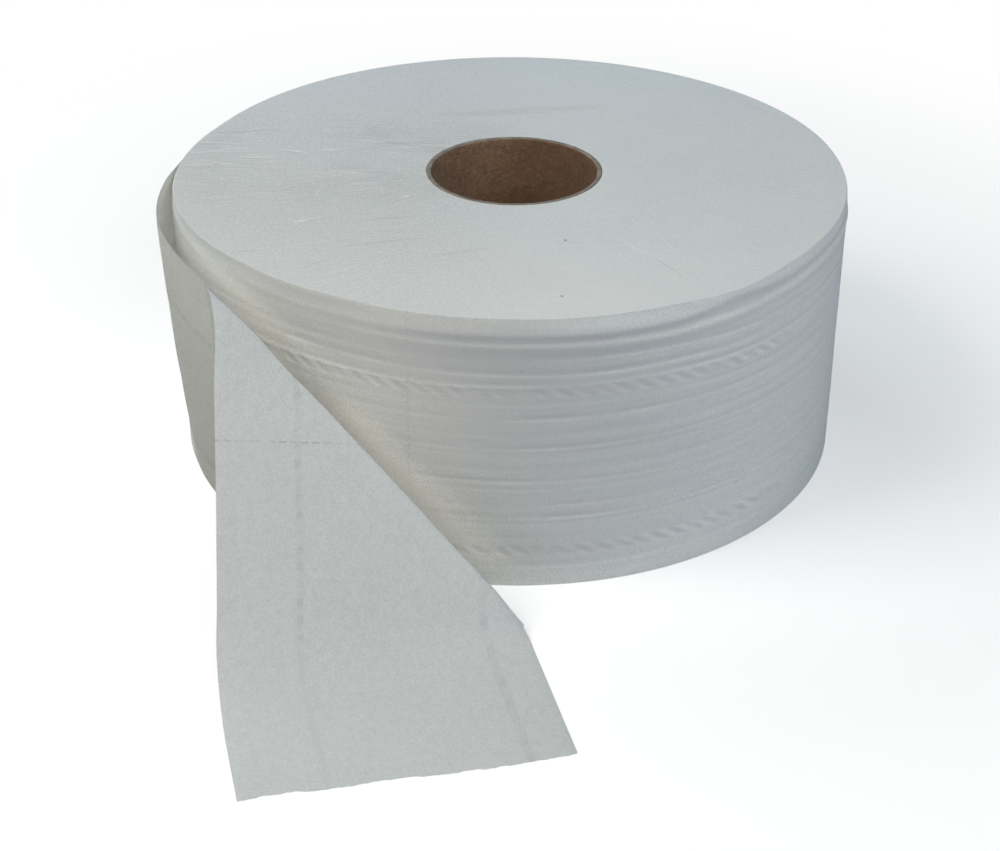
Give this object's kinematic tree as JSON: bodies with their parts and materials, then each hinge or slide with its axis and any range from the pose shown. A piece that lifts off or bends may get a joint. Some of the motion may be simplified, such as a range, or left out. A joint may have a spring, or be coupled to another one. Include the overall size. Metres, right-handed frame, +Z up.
{
  "type": "toilet paper roll",
  "caption": "Wide jumbo toilet paper roll on a cardboard core, standing on end, its loose last turn folded forward over a slanting fold and laid on the table.",
  "frame": {"origin": "on the core's axis, in the plane of the end that the roll stands on", "axes": "+Z up along the core's axis; the loose end comes off at the left and lies out in front, along -Y"},
  "size_m": [0.2456, 0.3507, 0.1],
  "materials": {
    "core_board": "matt brown recycled board",
    "tissue": "soft matt two-ply tissue, white with a faint grey cast"
  },
  "bodies": {
    "root": {"core_tube": "core_board", "paper_roll": "tissue"}
  },
  "joints": []
}
